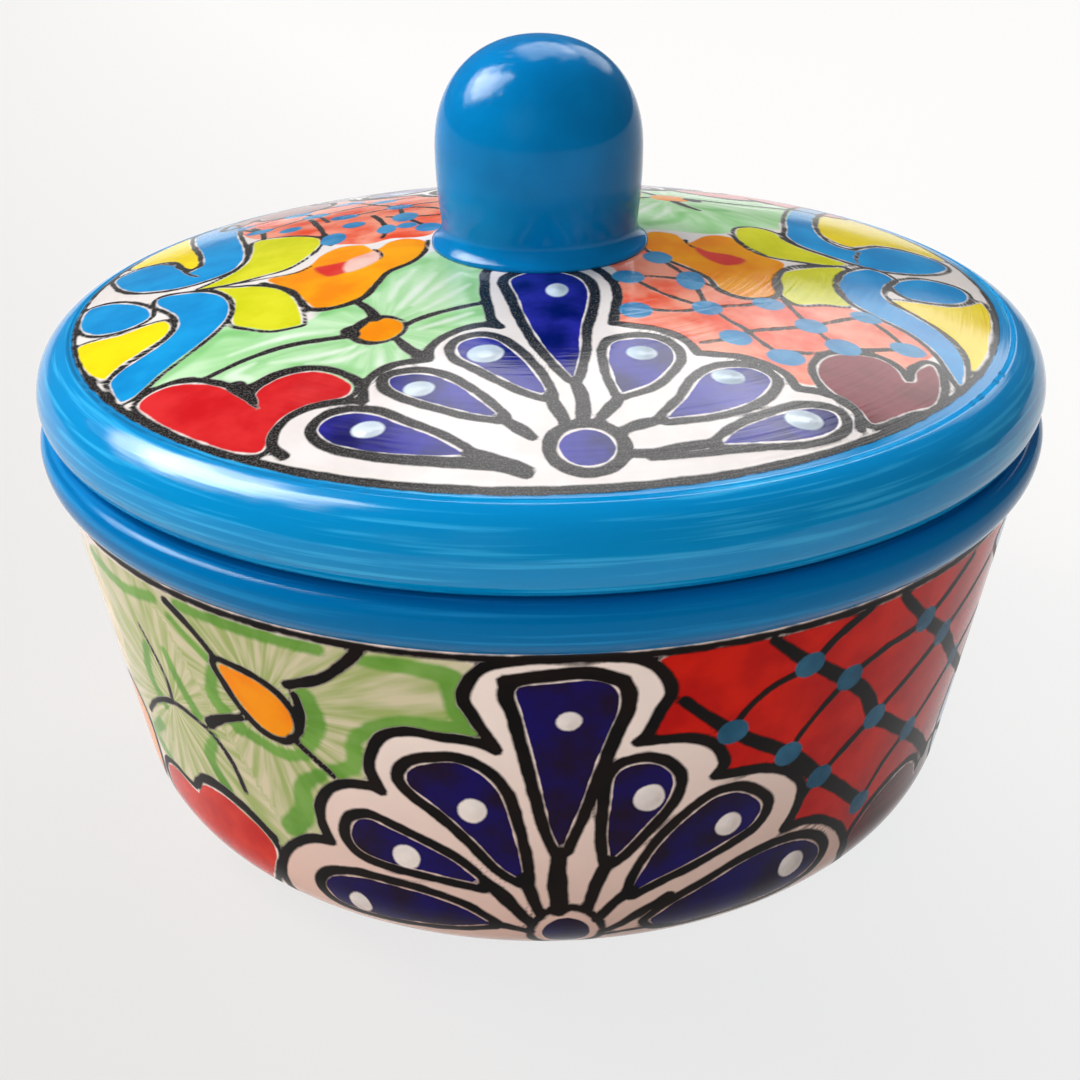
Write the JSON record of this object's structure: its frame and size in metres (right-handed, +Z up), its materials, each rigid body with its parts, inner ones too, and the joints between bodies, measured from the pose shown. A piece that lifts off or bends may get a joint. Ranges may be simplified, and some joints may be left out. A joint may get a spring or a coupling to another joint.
{
  "type": "tortilla warmer",
  "caption": "Round glazed earthenware bowl with a leaning wall and a rolled rim, closed by a loose domed lid with a knob, for keeping flat breads warm at the table.",
  "frame": {"origin": "on the table, under the middle of the bowl's standing ring", "axes": "+Z up through the middle of the bowl, the lid and the knob; -Y towards the side that the picture shows"},
  "size_m": [0.241, 0.241, 0.1856],
  "materials": {
    "bowl_glaze": "glossy tin glaze with hand painted ornament and a blue rim",
    "lid_glaze": "glossy tin glaze with hand painted ornament and a blue edge",
    "ring_glaze": "plain glossy tin glaze",
    "knob_glaze": "glossy blue glaze"
  },
  "bodies": {
    "bowl": {"bowl": "bowl_glaze"},
    "lid": {"lid": "lid_glaze", "lid_locating_ring": "ring_glaze", "knob": "knob_glaze"}
  },
  "joints": [
    {"name": "lid_lift", "type": "slide", "parent": "bowl", "child": "lid", "axis": [0, 0, 1], "range_m": [0, 0.15]}
  ]
}
